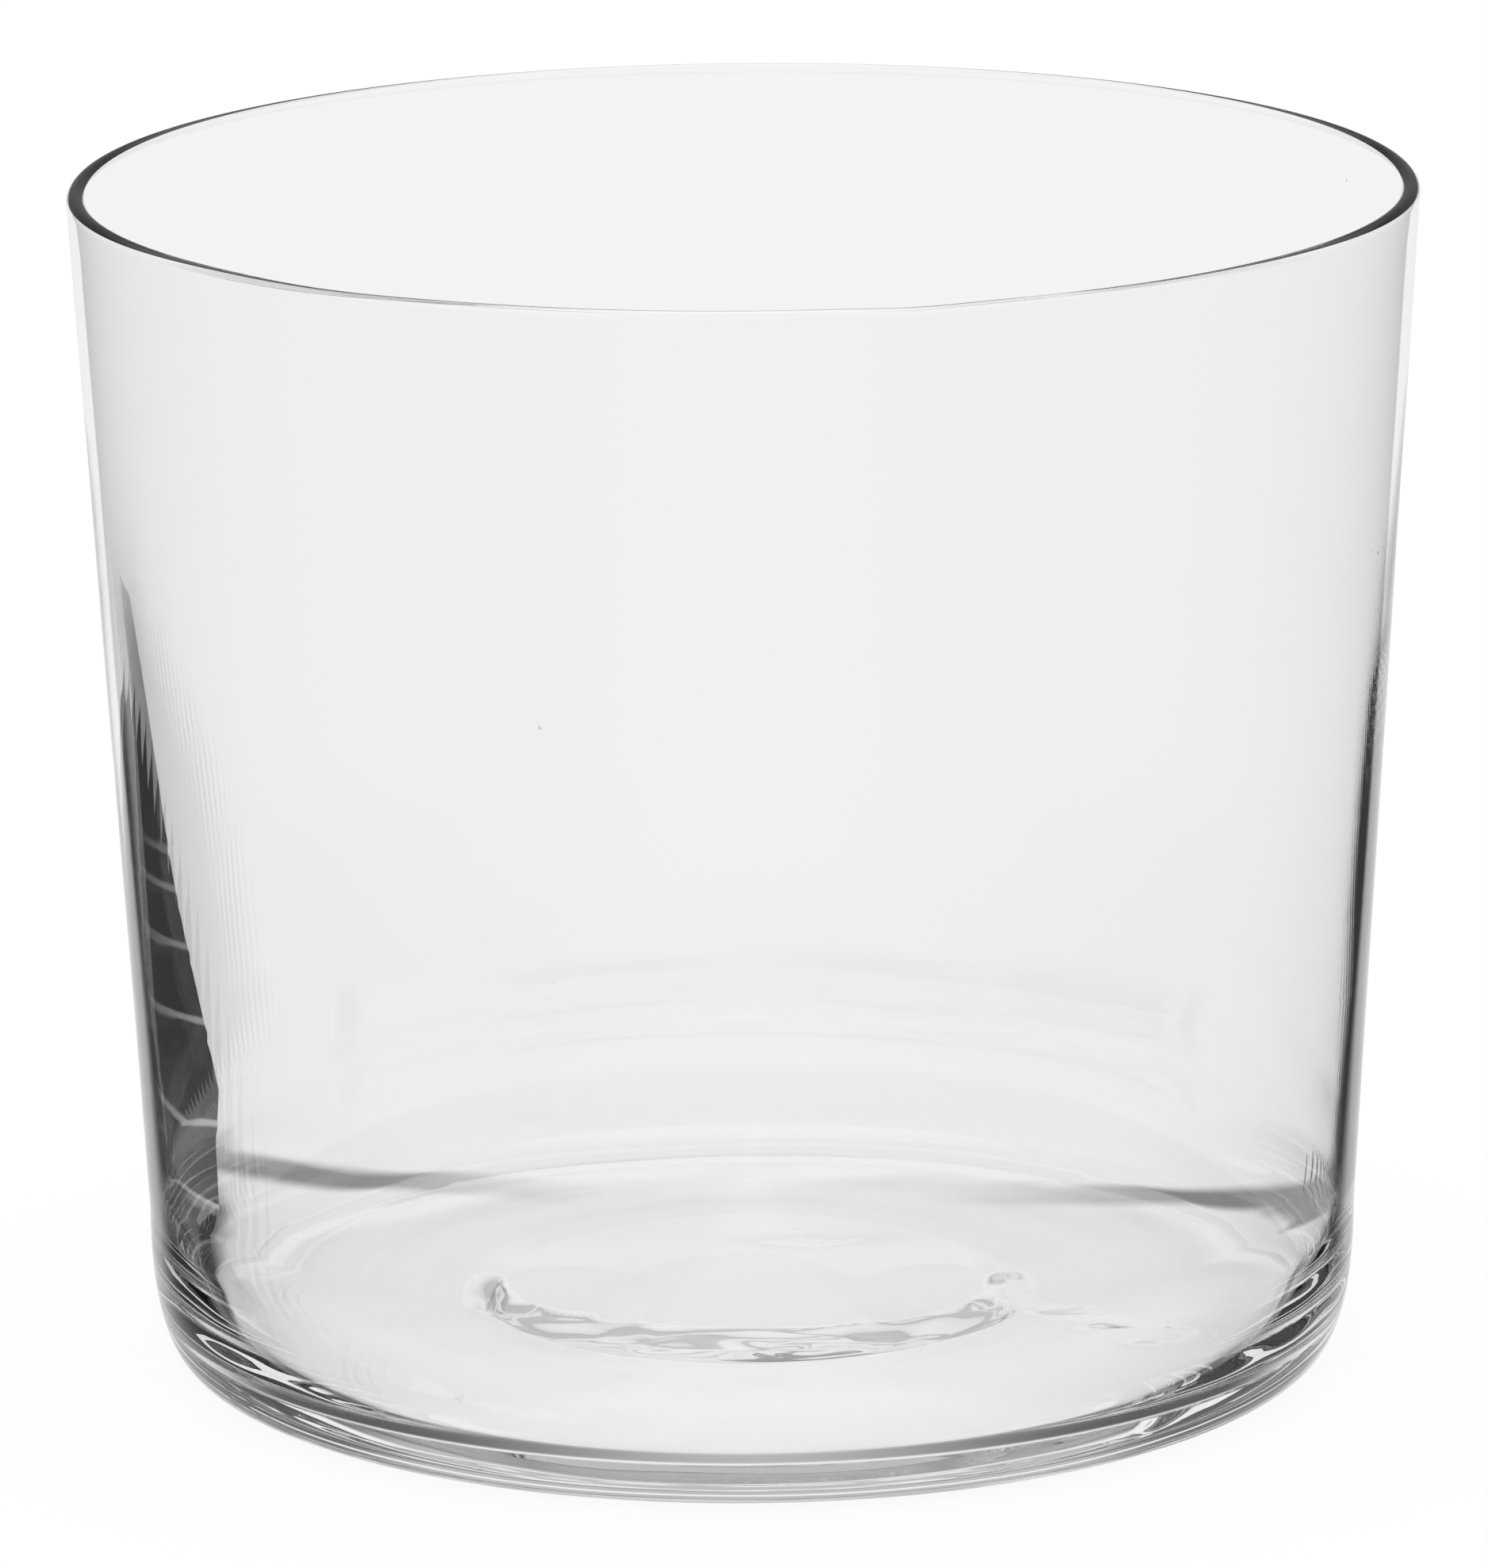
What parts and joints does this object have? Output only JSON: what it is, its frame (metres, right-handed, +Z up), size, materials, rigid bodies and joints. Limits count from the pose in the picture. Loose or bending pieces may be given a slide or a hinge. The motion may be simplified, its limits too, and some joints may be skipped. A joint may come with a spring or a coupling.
{
  "type": "water glass",
  "caption": "Low, wide tumbler of clear glass with a gently flared straight wall, a rounded heel and a hollowed foot, for water and other cold drinks.",
  "frame": {"origin": "centre of the foot, on the plane that the glass stands on", "axes": "+Z up along the axis of revolution, from the foot to the rim"},
  "size_m": [0.09, 0.09, 0.08],
  "materials": {
    "clear_glass": "clear, colourless and fire-polished, with faint forming ripples and a wrinkled chill mark under the base"
  },
  "bodies": {
    "root": {"tumbler": "clear_glass"}
  },
  "joints": []
}
